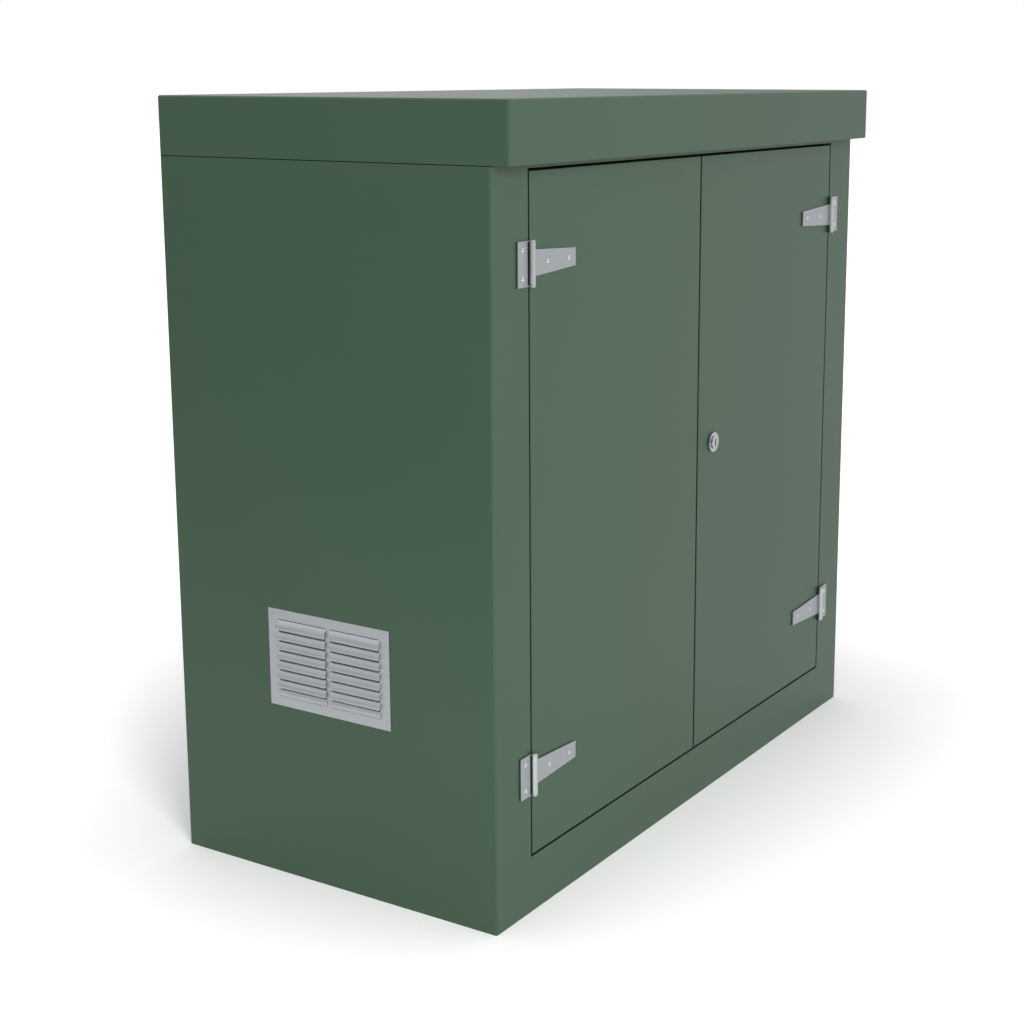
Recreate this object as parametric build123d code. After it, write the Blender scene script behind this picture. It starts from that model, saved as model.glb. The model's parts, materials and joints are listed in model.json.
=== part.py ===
from build123d import *
import os

# Roadside utility cabinet: a one-piece glass-fibre body with a lift-off roof, two doors on tee hinges,
# pressed louvre vents, a cam lock and two shoot bolts. Millimetres, +Z up, the doors face -Y, and the
# origin is on the ground in the middle of the outline.

# Body moulding
cabinet_width = 1192.0
cabinet_depth = 600.0
cabinet_height = 1190.0
wall = 6.0
moulding_radius = 3.0
base_flange_width = 60.0
base_flange_thickness = 8.0
anchor_hole_radius = 7.0
anchor_inset = 90.0
frame_stile = 91.2
frame_sill = 87.2
frame_head = 5.6
opening_radius = 1.2
stop_width = 25.0

# Roof moulding and the spigot that it drops over
roof_skirt = 88.0
roof_overhang = 30.0
roof_wall = 6.0
roof_seam = 1.5
seam_setback = 1.0
spigot_height = 60.0
spigot_clearance = 0.5
top_flange_width = 34.0
roof_boss_radius = 13.0
roof_bolt_radius = 4.0
roof_bolt_grip = 18.0
roof_bolt_head_flats = 13.0
roof_bolt_head = 5.5
roof_bolt_clearance = 0.5

# Doors and their seal
door_gap = 3.0
meeting_gap = 3.8
door_depth = 28.0
door_skin = 5.0
door_rim = 5.0
door_edge_radius = 1.5
meeting_stile = 32.0
hinge_pad_depth = 10.0
hinge_pad_height = 76.0
hinge_pad_margin = 18.0
lock_pad_depth = 12.0
lock_pad_width = 44.0
lock_pad_height = 90.0
door_seal_thickness = 6.0
door_seal_width = 14.0
door_seal_inset = 4.0
seal_clearance = 0.3

# Tee hinges
hinge_inset = 127.2
hinge_height = 64.0
hinge_sheet = 1.8
hinge_edge_radius = 0.4
hinge_gasket = 1.2
hinge_gasket_inset = 0.3
knuckle_radius = 5.0
knuckle_gap = 0.4
knuckle_lift = 0.2
pin_radius = 2.3
pin_clearance = 0.05
pin_head_radius = 3.6
pin_head = 1.0
leaf_offset = 7.7
leaf_width = 24.0
leaf_screw_span = 40.0
strap_reach = 117.3
strap_root_height = 38.6
strap_tip_height = 26.0
strap_screw_offset = 43.8
strap_screw_pitch = 55.2

# Dome-headed hinge screws and their nuts
screw_radius = 2.5
screw_head_radius = 3.7
screw_head = 2.0
screw_dome_radius = 1.7
screw_clearance = 0.1
screw_tail = 1.5
nut_flats = 8.0
nut_height = 4.0

# Louvre vents
vent_width = 230.0
vent_height = 153.0
vent_centre_height = 351.5
vent_sheet = 1.2
vent_corner_radius = 0.6
louvre_length = 95.0
louvre_columns = 2
column_web = 6.0
louvre_end_radius = 2.0
louvre_slits = 7
louvre_pitch = 15.29
louvre_reach = 5.7
louvre_slit = 2.0
louvre_first_extra = 1.2
louvre_bow_share = 0.26
louvre_first_bow_share = 0.26
louvre_relief = 1.2
louvre_drop = 1.2
louvre_dip = 0.2
louvre_bead_rise = 14.0
louvre_bead_reach = 3.2
vent_window_margin = 4.0
vent_rivet_inset = 8.5
vent_rivet_radius = 1.6
vent_rivet_head_radius = 2.4
vent_rivet_head = 0.4
vent_rivet_tail = 1.5

# Cam lock
lock_backset = 50.1
lock_rise = 524.8
lock_flange_radius = 17.0
lock_flange = 3.8
lock_flange_bevel = 0.5
lock_collar_radius = 10.8
lock_collar = 3.2
lock_collar_bevel = 0.8
lock_barrel_radius = 11.0
lock_hole_clearance = 0.2
lock_plug_radius = 8.0
lock_plug_clearance = 0.05
lock_plug_recess = 0.4
key_slot_height = 12.0
key_slot_width = 3.2
key_slot_depth = 9.0
lock_nut_flats = 27.0
lock_nut_height = 6.0
cam_thickness = 3.0
cam_hub_radius = 12.0
cam_tip_width = 16.0
cam_bite = 20.0
cam_clearance = 0.4
cam_square = 9.0
cam_square_clearance = 0.05
cam_screw_radius = 7.0
cam_screw_head = 4.0
cam_screw_bevel = 1.0
cam_keep_height = 70.0
cam_keep_width = 28.0
keep_thickness = 2.0

# Shoot bolts on the left door
bolt_radius = 5.0
bolt_throw = 25.0
bolt_nose = 20.0
bolt_nose_bevel = 1.5
bolt_tail = 32.0
bolt_running_clearance = 0.05
bolt_stop_gap = 0.5
bolt_rest_gap = 5.0
bolt_knob_radius = 5.0
bolt_knob_reach = 24.0
bolt_knob_bevel = 1.5
bolt_guide_height = 12.0
bolt_guide_width = 20.0
bolt_guide_wall = 3.0
bolt_plate = 3.0
bolt_plate_width = 26.0
bolt_plate_ear = 14.0
bolt_keep_width = 44.0
bolt_keep_clearance = 0.6
bolt_screw_radius = 2.0
bolt_screw_head_radius = 3.6
bolt_screw_head = 1.6
bolt_screw_length = 14.0

# Plywood backboard and its rails
board_side_gap = 90.0
board_headroom = 100.5
board_rise = 120.0
board_thickness = 18.0
rail_depth = 28.0
rail_height = 45.0
rail_inset = 110.0
board_screw_columns = 3
board_screw_inset = 60.0
board_screw_radius = 2.5
board_screw_head_radius = 5.0
board_screw_head = 3.2
board_screw_grip = 14.0
board_screw_clearance = 0.1

# One overrun serves every cut
overrun = 5.0

# Places worked out from the sizes above
half_width = cabinet_width / 2
back = (cabinet_depth + roof_overhang) / 2
front = back - cabinet_depth
roof_front = front - roof_overhang
roof_bottom = cabinet_height - roof_skirt
ledge = roof_bottom - roof_seam
joggle = roof_wall + spigot_clearance
spigot_half = half_width - joggle
spigot_back = back - joggle
spigot_top = ledge + spigot_height
inner_half = half_width - wall
inner_back = back - wall
inner_front = front + wall
opening_half = half_width - frame_stile
opening_top = ledge - frame_head
opening_bottom = frame_sill
rebate = door_depth + seal_clearance + door_seal_thickness
stop_front = front + rebate
stop_back = stop_front + wall
door_inner = meeting_gap / 2
door_outer = opening_half - door_gap
door_bottom = opening_bottom + door_gap
door_top = opening_top - door_gap
door_back = front + door_depth
hinge_x = opening_half - door_gap / 2
hinge_y = front - knuckle_radius - knuckle_lift
hinge_seat = front - hinge_gasket
hinge_face = hinge_seat - hinge_sheet
hinge_levels = {"upper": door_top - hinge_inset, "lower": door_bottom + hinge_inset}
leaf_screw_x = hinge_x + leaf_offset + leaf_width / 2
strap_screw_xs = [hinge_x - strap_screw_offset, hinge_x - strap_screw_offset - strap_screw_pitch]
vent_y = (front + back) / 2
louvre_rise = louvre_pitch - louvre_slit
louvre_field = louvre_pitch * louvre_slits + louvre_first_extra + louvre_bead_rise
louvre_top = vent_centre_height + louvre_field / 2 - louvre_drop
louvre_inner_length = louvre_length - 2 * vent_sheet
lock_x = door_inner + lock_backset
lock_z = door_bottom + lock_rise
lock_barrel_end = door_back + keep_thickness
cam_front = lock_barrel_end + cam_clearance
cam_back = cam_front + cam_thickness
stile_x = door_inner + meeting_stile / 2
bolt_y = stop_back + keep_thickness + bolt_keep_clearance + bolt_radius
bolt_bracket = bolt_throw + 2 * (bolt_knob_radius + bolt_stop_gap + bolt_guide_height)
board_back = inner_back - rail_depth
board_front = board_back - board_thickness
board_top = ledge - board_headroom
board_half = inner_half - board_side_gap
rail_levels = {"upper": board_top - rail_inset, "lower": board_rise + rail_inset}
board_screw_pitch = 2 * (board_half - board_screw_inset) / (board_screw_columns - 1)


def block(x0, x1, y0, y1, z0, z1):
    """Box between two corners, in either order along each axis."""
    middle = Pos((x0 + x1) / 2, (y0 + y1) / 2, (z0 + z1) / 2)
    return middle * Box(abs(x1 - x0), abs(y1 - y0), abs(z1 - z0))


def post(x, y, z0, z1, radius):
    """Cylinder along Z."""
    return Pos(x, y, (z0 + z1) / 2) * Cylinder(radius, abs(z1 - z0))


def dowel(x, z, y0, y1, radius):
    """Cylinder along Y."""
    return Pos(x, (y0 + y1) / 2, z) * Rot(90, 0, 0) * Cylinder(radius, abs(y1 - y0))


def hexagon(flats, height):
    """Hexagonal prism that stands on the XY plane, with two flats facing along X."""
    outline = RegularPolygon(flats / 2, side_count=6, major_radius=False, rotation=30)
    return extrude(outline, amount=height)


def facing_front(x, y, z):
    """Place for a piece modelled upright, so that its top faces -Y."""
    return Pos(x, y, z) * Rot(90, 0, 0)


def facing_back(x, y, z):
    """Place for a piece modelled upright, so that its top faces +Y."""
    return Pos(x, y, z) * Rot(-90, 0, 0)


def to_left(shape):
    """Mirror image on the left-hand side of the cabinet."""
    return mirror(shape, about=Plane.YZ)


def group(solids):
    """One node of separate solids."""
    return Compound(children=list(solids))


def leaf_screw_places():
    return [(leaf_screw_x, level + sign * leaf_screw_span / 2)
            for level in hinge_levels.values() for sign in (-1, 1)]


def strap_screw_places():
    return [(x, level) for level in hinge_levels.values() for x in strap_screw_xs]


def anchor_places():
    y = inner_back - base_flange_width / 2
    return [(sign_x * (inner_half - anchor_inset), (front + back) / 2 + sign_y * (y - (front + back) / 2))
            for sign_x in (-1, 1) for sign_y in (-1, 1)]


def roof_bolt_places():
    x = spigot_half - wall - top_flange_width / 2
    y_front = inner_front + top_flange_width / 2
    y_back = spigot_back - wall - top_flange_width / 2
    return [(place, y) for place in (-x, 0, x) for y in (y_front, y_back)]


def vent_window_columns():
    """Middle of each louvre column, along Y."""
    pitch = louvre_length + column_web
    first = vent_y - pitch * (louvre_columns - 1) / 2
    return [first + pitch * column for column in range(louvre_columns)]


def vent_rivet_places():
    return [(vent_y + sign_y * (vent_width / 2 - vent_rivet_inset),
             vent_centre_height + sign_z * (vent_height / 2 - vent_rivet_inset))
            for sign_y in (-1, 1) for sign_z in (-1, 1)]


def body_shell():
    """Sides, back, front frame with its rebate, base flange, and the spigot for the roof, in one moulding."""
    lower = block(-half_width, half_width, front, back, 0, ledge)
    lower = fillet(lower.edges().filter_by(Axis.Z), moulding_radius)
    shell = lower + block(-spigot_half, spigot_half, front, spigot_back, ledge, spigot_top)
    shell -= block(-inner_half, inner_half, inner_front, inner_back, base_flange_thickness, ledge - wall)
    room = spigot_half - wall
    shell -= block(-room, room, inner_front, spigot_back - wall, ledge - wall, spigot_top - wall)
    mouth = room - top_flange_width
    shell -= block(-mouth, mouth, inner_front + top_flange_width, spigot_back - wall - top_flange_width,
                   spigot_top - wall, spigot_top + overrun)
    well = inner_half - base_flange_width
    shell -= block(-well, well, inner_front + base_flange_width, inner_back - base_flange_width,
                   -overrun, base_flange_thickness)
    jamb = opening_half + wall
    shell += block(-jamb, jamb, front, stop_back, opening_bottom - wall, opening_top + wall)
    shell -= block(-opening_half, opening_half, front - overrun, stop_front, opening_bottom, opening_top)
    clear = opening_half - stop_width
    shell -= block(-clear, clear, stop_front, stop_back + overrun,
                   opening_bottom + stop_width, opening_top - stop_width)
    front_face = shell.faces().sort_by(Axis.Y)[0]
    shell = fillet(front_face.inner_wires()[0].edges(), opening_radius)
    for x, y in anchor_places():
        shell -= post(x, y, -overrun, base_flange_thickness + overrun, anchor_hole_radius)
    for x, y in roof_bolt_places():
        shell -= post(x, y, spigot_top - wall - overrun, spigot_top + overrun,
                      roof_bolt_radius + roof_bolt_clearance)
    for x, z in leaf_screw_places():
        for sign in (-1, 1):
            shell -= dowel(sign * x, z, front - overrun, inner_front + overrun,
                           screw_radius + screw_clearance)
    for y in vent_window_columns():
        reach = louvre_length / 2 - vent_window_margin
        rise = louvre_field / 2 - vent_window_margin
        for sign in (-1, 1):
            shell -= block(sign * (inner_half - overrun), sign * (half_width + overrun), y - reach, y + reach,
                           vent_centre_height - rise, vent_centre_height + rise)
    for y, z in vent_rivet_places():
        hole = Pos(0, y, z) * Rot(0, 90, 0) * Cylinder(vent_rivet_radius + screw_clearance,
                                                       cabinet_width + 2 * overrun)
        shell -= hole
    return shell


def roof_canopy():
    """Flat-topped cap with a deep skirt, hollow below, with bosses for the bolts that hold it down."""
    roof = block(-half_width, half_width, roof_front, back, roof_bottom, cabinet_height)
    top_edges = roof.faces().sort_by(Axis.Z)[-1].edges()
    roof = fillet(roof.edges().filter_by(Axis.Z) + top_edges, moulding_radius)
    ceiling = cabinet_height - roof_wall
    roof -= block(-half_width + roof_wall, half_width - roof_wall, roof_front + roof_wall, back - roof_wall,
                  roof_bottom - overrun, ceiling)
    for x, y in roof_bolt_places():
        roof += post(x, y, spigot_top, ceiling, roof_boss_radius)
    for x, y in roof_bolt_places():
        roof -= post(x, y, spigot_top - overrun, spigot_top + roof_bolt_grip,
                     roof_bolt_radius + screw_clearance)
    return roof


def roof_seal():
    """Foam strip in the seam under the roof's skirt, along the sides and the back."""
    outside = half_width - seam_setback
    strip = block(-outside, outside, front, back - seam_setback, ledge, roof_bottom)
    return strip - block(-spigot_half, spigot_half, front - overrun, spigot_back, ledge - overrun, cabinet_height)


def roof_bolts():
    """Bolts up through the spigot's flange into the roof's bosses."""
    under = spigot_top - wall
    solids = []
    for x, y in roof_bolt_places():
        head = Pos(x, y, under - roof_bolt_head) * hexagon(roof_bolt_head_flats, roof_bolt_head)
        solids.append(head + post(x, y, under, spigot_top + roof_bolt_grip, roof_bolt_radius))
    return group(solids)


def door_panel(has_lock):
    """Right-hand door tray: a skin with returned edges, a solid meeting stile and pads for the fixings."""
    panel = block(door_inner, door_outer, front, door_back, door_bottom, door_top)
    panel = fillet(panel.faces().sort_by(Axis.Y)[0].edges(), door_edge_radius)
    pocket_inner = door_inner + meeting_stile
    pocket_outer = door_outer - door_rim
    panel -= block(pocket_inner, pocket_outer, front + door_skin, door_back + overrun,
                   door_bottom + door_rim, door_top - door_rim)
    pad_end = hinge_x - strap_reach - hinge_pad_margin
    for level in hinge_levels.values():
        panel += block(pad_end, pocket_outer, front + door_skin, front + hinge_pad_depth,
                       level - hinge_pad_height / 2, level + hinge_pad_height / 2)
    for x, z in strap_screw_places():
        panel -= dowel(x, z, front - overrun, door_back + overrun, screw_radius + screw_clearance)
    if has_lock:
        panel += block(pocket_inner, pocket_inner + lock_pad_width, front + door_skin, front + lock_pad_depth,
                       lock_z - lock_pad_height / 2, lock_z + lock_pad_height / 2)
        panel -= dowel(lock_x, lock_z, front - overrun, door_back + overrun,
                       lock_barrel_radius + lock_hole_clearance)
    return panel


def left_door_panel():
    panel = to_left(door_panel(has_lock=False))
    for x, z in bolt_screw_places():
        panel -= dowel(x, z, door_back - bolt_screw_length, door_back + overrun,
                       bolt_screw_radius + screw_clearance)
    return panel


def door_seal():
    """Foam strip on the front of the door stop, all round the opening."""
    outside = opening_half - door_seal_inset
    inside = outside - door_seal_width
    top = opening_top - door_seal_inset
    bottom = opening_bottom + door_seal_inset
    ring = block(-outside, outside, stop_front - door_seal_thickness, stop_front, bottom, top)
    return ring - block(-inside, inside, stop_front - door_seal_thickness - overrun, stop_front + overrun,
                        bottom + door_seal_width, top - door_seal_width)


def hinge_bore(level):
    return post(hinge_x, hinge_y, level - hinge_height, level + hinge_height, pin_radius + pin_clearance)


def hinge_leaf(level):
    """Frame leaf of a tee hinge: a plate with a lug at each end that holds the pin."""
    half = hinge_height / 2
    leaf = block(hinge_x + leaf_offset, hinge_x + leaf_offset + leaf_width, hinge_face, hinge_seat,
                 level - half, level + half)
    leaf = fillet(leaf.faces().sort_by(Axis.Y)[0].edges(), hinge_edge_radius)
    for sign in (-1, 1):
        outer = level + sign * half
        inner = outer - sign * hinge_sheet
        leaf += block(hinge_x, hinge_x + leaf_offset + hinge_sheet, hinge_face, hinge_seat, inner, outer)
        leaf += post(hinge_x, hinge_y, inner, outer, knuckle_radius)
    leaf -= hinge_bore(level)
    for sign in (-1, 1):
        leaf -= dowel(leaf_screw_x, level + sign * leaf_screw_span / 2, hinge_face - overrun,
                      front + overrun, screw_radius + screw_clearance)
    return leaf


def strap_outline(root_x, inset, level):
    """Tapering outline of a strap, from its root to its tip, on the XZ plane."""
    tip = hinge_x - strap_reach
    slope = (strap_root_height - strap_tip_height) / 2 / strap_reach
    root = strap_root_height / 2 - slope * (hinge_x - root_x) - inset
    end = strap_tip_height / 2 - inset
    corners = [(root_x, level - root), (root_x, level + root), (tip + inset, level + end),
               (tip + inset, level - end)]
    return Plane.XZ * make_face(Polyline(*corners, close=True))


def hinge_strap(level):
    """Door strap of a tee hinge: a tapering plate welded to the long knuckle between the lugs."""
    strap = Pos(0, hinge_seat, 0) * extrude(strap_outline(hinge_x, 0, level), amount=hinge_sheet)
    strap = fillet(strap.faces().sort_by(Axis.Y)[0].edges(), hinge_edge_radius)
    reach = hinge_height / 2 - hinge_sheet - knuckle_gap
    strap += post(hinge_x, hinge_y, level - reach, level + reach, knuckle_radius)
    strap -= hinge_bore(level)
    for x in strap_screw_xs:
        strap -= dowel(x, level, hinge_face - overrun, front + overrun, screw_radius + screw_clearance)
    return strap


def leaf_gasket(level):
    """Rubber sheet between a hinge leaf and the frame."""
    half = hinge_height / 2 - hinge_gasket_inset
    near = hinge_x + leaf_offset + hinge_gasket_inset
    far = hinge_x + leaf_offset + leaf_width - hinge_gasket_inset
    gasket = block(near, far, hinge_seat, front, level - half, level + half)
    for sign in (-1, 1):
        gasket -= dowel(leaf_screw_x, level + sign * leaf_screw_span / 2, hinge_seat - overrun,
                        front + overrun, screw_radius + screw_clearance)
    return gasket


def strap_gasket(level):
    """Rubber sheet between a hinge strap and the door."""
    root_x = hinge_x - knuckle_radius - hinge_gasket_inset
    gasket = Pos(0, front, 0) * extrude(strap_outline(root_x, hinge_gasket_inset, level), amount=hinge_gasket)
    for x in strap_screw_xs:
        gasket -= dowel(x, level, hinge_seat - overrun, front + overrun, screw_radius + screw_clearance)
    return gasket


def hinge_pin(level):
    """Pin with a head peened over each lug."""
    half = hinge_height / 2
    pin = post(hinge_x, hinge_y, level - half, level + half, pin_radius)
    for sign in (-1, 1):
        pin += post(hinge_x, hinge_y, level + sign * half, level + sign * (half + pin_head), pin_head_radius)
    return pin


def dome_screw(grip):
    """Dome-headed machine screw, with the head's seat on the XY plane."""
    head = Pos(0, 0, screw_head / 2) * Cylinder(screw_head_radius, screw_head)
    head = fillet(head.edges().sort_by(Axis.Z)[-1:], screw_dome_radius)
    length = grip + nut_height + screw_tail
    return head + Pos(0, 0, -length / 2) * Cylinder(screw_radius, length)


def hinge_nut():
    return hexagon(nut_flats, nut_height) - Pos(0, 0, nut_height / 2) * Cylinder(
        screw_radius + screw_clearance, nut_height + overrun)


def hinge_screws(places, thickness):
    """Screws through the hinge sheet, its gasket and a moulding of the given thickness."""
    screw = dome_screw(hinge_sheet + hinge_gasket + thickness)
    return [facing_front(x, hinge_face, z) * screw for x, z in places]


def hinge_nuts(places, thickness):
    nut = hinge_nut()
    return [facing_back(x, front + thickness, z) * nut for x, z in places]


def louvre_form(rise, lip, middle, inset):
    """Filled louvre with rounded ends, from its top crease down to its lip, its skin set in from the outside."""
    skin = vent_sheet - inset
    root = -louvre_end_radius - louvre_dip
    crease = skin - louvre_dip
    edge = skin + lip if lip else crease
    arc = ThreePointArc((crease, 0), (skin + middle, -rise / 2), (edge, -rise))
    sides = Polyline((edge, -rise), (root, -rise), (root, 0), (crease, 0))
    form = extrude(Plane.XZ * make_face([arc, *sides.edges()]), amount=louvre_length / 2 - inset, both=True)
    return fillet(form.edges().filter_by(GeomType.CIRCLE), louvre_end_radius - inset)


def louvre_rows():
    """Top, rise, lip and middle of each louvre of a column: the hoods, and a bead that closes the column."""
    rows = []
    top = louvre_top
    for row in range(louvre_slits):
        rise = louvre_rise if row else louvre_rise + louvre_first_extra
        bow = louvre_bow_share if row else louvre_first_bow_share
        rows.append((top, rise, louvre_reach, louvre_reach / 2 + bow * rise / 2))
        top -= rise + louvre_slit
    rows.append((top, louvre_bead_rise, 0, louvre_bead_reach))
    return rows


def louvre_vent():
    """Right-hand vent, pressed from one sheet: two columns of hooded louvres that open downwards."""
    face = half_width + vent_sheet
    low = vent_centre_height - vent_height / 2
    high = vent_centre_height + vent_height / 2
    near = vent_y - vent_width / 2
    far = vent_y + vent_width / 2
    vent = block(half_width, face, near, far, low, high)
    vent = fillet(vent.edges().filter_by(Axis.X), vent_corner_radius)
    back_half = block(half_width - overrun, half_width, near, far, low, high)
    rows = louvre_rows()
    outsides = [louvre_form(*row[1:], 0) for row in rows]
    insides = [louvre_form(*row[1:], vent_sheet) for row in rows]
    for y in vent_window_columns():
        left = y - louvre_inner_length / 2
        right = y + louvre_inner_length / 2
        for row, form in zip(rows, outsides):
            vent += Pos(half_width, y, row[0]) * form
        vent -= back_half
        for row, form in zip(rows, insides):
            vent -= Pos(half_width, y, row[0]) * form
        for top, rise, lip, middle in rows[:-1]:
            vent -= block(half_width - overrun, face + overrun, left, right, top - rise - louvre_slit, top - rise)
        vent -= block(half_width - overrun, face + overrun, left, right, louvre_top, louvre_top + louvre_relief)
    for y, z in vent_rivet_places():
        vent -= Pos(face, y, z) * Rot(0, 90, 0) * Cylinder(vent_rivet_radius + screw_clearance, 2 * overrun)
    return vent


def vent_rivets():
    """Blind rivets in the corners of the right-hand vent."""
    face = half_width + vent_sheet
    solids = []
    for y, z in vent_rivet_places():
        head = Pos(vent_rivet_head / 2, 0, 0) * Rot(0, 90, 0) * Cylinder(vent_rivet_head_radius, vent_rivet_head)
        length = vent_sheet + wall + vent_rivet_tail
        shank = Pos(-length / 2, 0, 0) * Rot(0, 90, 0) * Cylinder(vent_rivet_radius, length)
        solids.append(Pos(face, y, z) * (head + shank))
    return group(solids)


def lock_body():
    """Flange, raised collar and threaded barrel of the cam lock."""
    flange = dowel(lock_x, lock_z, front - lock_flange, front, lock_flange_radius)
    flange = chamfer(flange.edges().filter_by(GeomType.CIRCLE).sort_by(Axis.Y)[:1], lock_flange_bevel)
    collar_front = front - lock_flange - lock_collar
    collar = dowel(lock_x, lock_z, collar_front, front - lock_flange, lock_collar_radius)
    collar = chamfer(collar.edges().filter_by(GeomType.CIRCLE).sort_by(Axis.Y)[:1], lock_collar_bevel)
    body = flange + collar + dowel(lock_x, lock_z, front, lock_barrel_end, lock_barrel_radius)
    return body - dowel(lock_x, lock_z, collar_front - overrun, lock_barrel_end + overrun,
                        lock_plug_radius + lock_plug_clearance)


def lock_nut():
    nut = hexagon(lock_nut_flats, lock_nut_height) - Pos(0, 0, lock_nut_height / 2) * Cylinder(
        lock_barrel_radius + screw_clearance, lock_nut_height + overrun)
    return facing_back(lock_x, front + lock_pad_depth, lock_z) * nut


def lock_plug():
    """Turning plug with its key slot upright and a square tail for the cam."""
    plug_front = front - lock_flange - lock_collar + lock_plug_recess
    half = cam_square / 2
    plug = dowel(lock_x, lock_z, plug_front, cam_front, lock_plug_radius)
    plug += block(lock_x - half, lock_x + half, cam_front, cam_back, lock_z - half, lock_z + half)
    return plug - block(lock_x - key_slot_width / 2, lock_x + key_slot_width / 2, plug_front - overrun,
                        plug_front + key_slot_depth, lock_z - key_slot_height / 2, lock_z + key_slot_height / 2)


def lock_cam():
    """Flat cam that hangs down when the lock is open, long enough to reach behind the other door."""
    reach = lock_backset + door_gap + cam_bite
    tip = cam_tip_width / 2
    corners = [(-cam_hub_radius, 0), (cam_hub_radius, 0), (tip, -reach), (-tip, -reach)]
    outline = make_face(Polyline(*corners, close=True)) + Circle(cam_hub_radius)
    side = cam_square + 2 * cam_square_clearance
    outline -= Rectangle(side, side)
    return Pos(lock_x, cam_back, lock_z) * extrude(Plane.XZ * outline, amount=cam_thickness)


def cam_screw():
    head = dowel(lock_x, lock_z, cam_back, cam_back + cam_screw_head, cam_screw_radius)
    return chamfer(head.edges().filter_by(GeomType.CIRCLE).sort_by(Axis.Y)[-1:], cam_screw_bevel)


def cam_keep():
    """Wear plate on the left door's meeting stile, where the cam bears."""
    return block(-stile_x - cam_keep_width / 2, -stile_x + cam_keep_width / 2, door_back,
                 door_back + keep_thickness, lock_z - cam_keep_height / 2, lock_z + cam_keep_height / 2)


def bolt_ends():
    """Tip at rest and direction of throw of each shoot bolt."""
    return {"top": (opening_top - stop_width - bolt_rest_gap, 1),
            "bottom": (opening_bottom + stop_width + bolt_rest_gap, -1)}


def bolt_screw_places():
    places = []
    for tip, up in bolt_ends().values():
        bracket_end = tip - up * bolt_nose
        for along in (-bolt_plate_ear / 2, bolt_bracket + bolt_plate_ear / 2):
            places.append((-stile_x, bracket_end - up * along))
    return places


def shoot_bolt(name):
    """Round bolt with a bevelled nose and a knob that stands out between the guides."""
    tip, up = bolt_ends()[name]
    tail = tip - up * (bolt_nose + bolt_bracket + bolt_tail)
    bolt = post(-stile_x, bolt_y, tail, tip, bolt_radius)
    ends = bolt.edges().filter_by(GeomType.CIRCLE).sort_by(Axis.Z)
    bolt = chamfer(ends[-1:] if up > 0 else ends[:1], bolt_nose_bevel)
    knob_z = tip - up * (bolt_nose + bolt_bracket - bolt_guide_height - bolt_stop_gap - bolt_knob_radius)
    knob = dowel(-stile_x, knob_z, bolt_y, bolt_y + bolt_knob_reach, bolt_knob_radius)
    knob = chamfer(knob.edges().filter_by(GeomType.CIRCLE).sort_by(Axis.Y)[-1:], bolt_knob_bevel)
    return bolt + knob


def bolt_bracket_plate(name):
    """Plate with two guides for a shoot bolt, screwed to the left door's meeting stile."""
    tip, up = bolt_ends()[name]
    start = tip - up * bolt_nose
    end = start - up * bolt_bracket
    half = bolt_plate_width / 2
    plate_back = door_back + bolt_plate
    plate = block(-stile_x - half, -stile_x + half, door_back, plate_back,
                  start + up * bolt_plate_ear, end - up * bolt_plate_ear)
    guide_half = bolt_guide_width / 2
    guide_back = bolt_y + bolt_radius + bolt_guide_wall
    for edge, inward in ((start, -up), (end, up)):
        plate += block(-stile_x - guide_half, -stile_x + guide_half, plate_back, guide_back,
                       edge, edge + inward * bolt_guide_height)
    plate -= post(-stile_x, bolt_y, door_bottom, door_top, bolt_radius + bolt_running_clearance)
    for x, z in bolt_screw_places():
        plate -= dowel(x, z, door_back - overrun, plate_back + overrun, bolt_screw_radius + screw_clearance)
    return plate


def bolt_keep(name):
    """Wear plate behind the door stop, which the thrown bolt slides past."""
    half = bolt_keep_width / 2
    edge = opening_top - stop_width if name == "top" else opening_bottom + stop_width
    up = bolt_ends()[name][1]
    return block(-stile_x - half, -stile_x + half, stop_back, stop_back + keep_thickness,
                 edge, edge + up * stop_width)


def bolt_screws():
    """Wood screws that hold the two bolt brackets."""
    seat = door_back + bolt_plate
    length = bolt_screw_length + bolt_plate - bolt_screw_head
    head = Pos(0, 0, bolt_screw_head / 2) * Cylinder(bolt_screw_head_radius, bolt_screw_head)
    screw = head + Pos(0, 0, -length / 2) * Cylinder(bolt_screw_radius, length)
    return group(facing_back(x, seat, z) * screw for x, z in bolt_screw_places())


def board_screw_places():
    first = board_screw_inset - board_half
    return [(first + board_screw_pitch * column, level)
            for level in rail_levels.values() for column in range(board_screw_columns)]


def board_screw(clearance, depth):
    """Countersunk screw with its head's top on the XY plane, or its hole where a clearance is given."""
    head = Pos(0, 0, -board_screw_head / 2) * Cone(
        board_screw_radius + clearance, board_screw_head_radius + clearance, board_screw_head)
    return head + Pos(0, 0, -depth / 2) * Cylinder(board_screw_radius + clearance, depth)


def backboard():
    board = block(-board_half, board_half, board_front, board_back, board_rise, board_top)
    hole = board_screw(board_screw_clearance, board_thickness + overrun)
    for x, z in board_screw_places():
        board -= facing_front(x, board_front, z) * hole
    return board


def backboard_rail(name):
    level = rail_levels[name]
    rail = block(-board_half, board_half, board_back, inner_back,
                 level - rail_height / 2, level + rail_height / 2)
    for x, z in board_screw_places():
        if z == level:
            rail -= dowel(x, z, board_back - overrun, board_back + board_screw_grip,
                          board_screw_radius + board_screw_clearance)
    return rail


def backboard_screws():
    screw = board_screw(0, board_thickness + board_screw_grip)
    return group(facing_front(x, board_front, z) * screw for x, z in board_screw_places())


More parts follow.
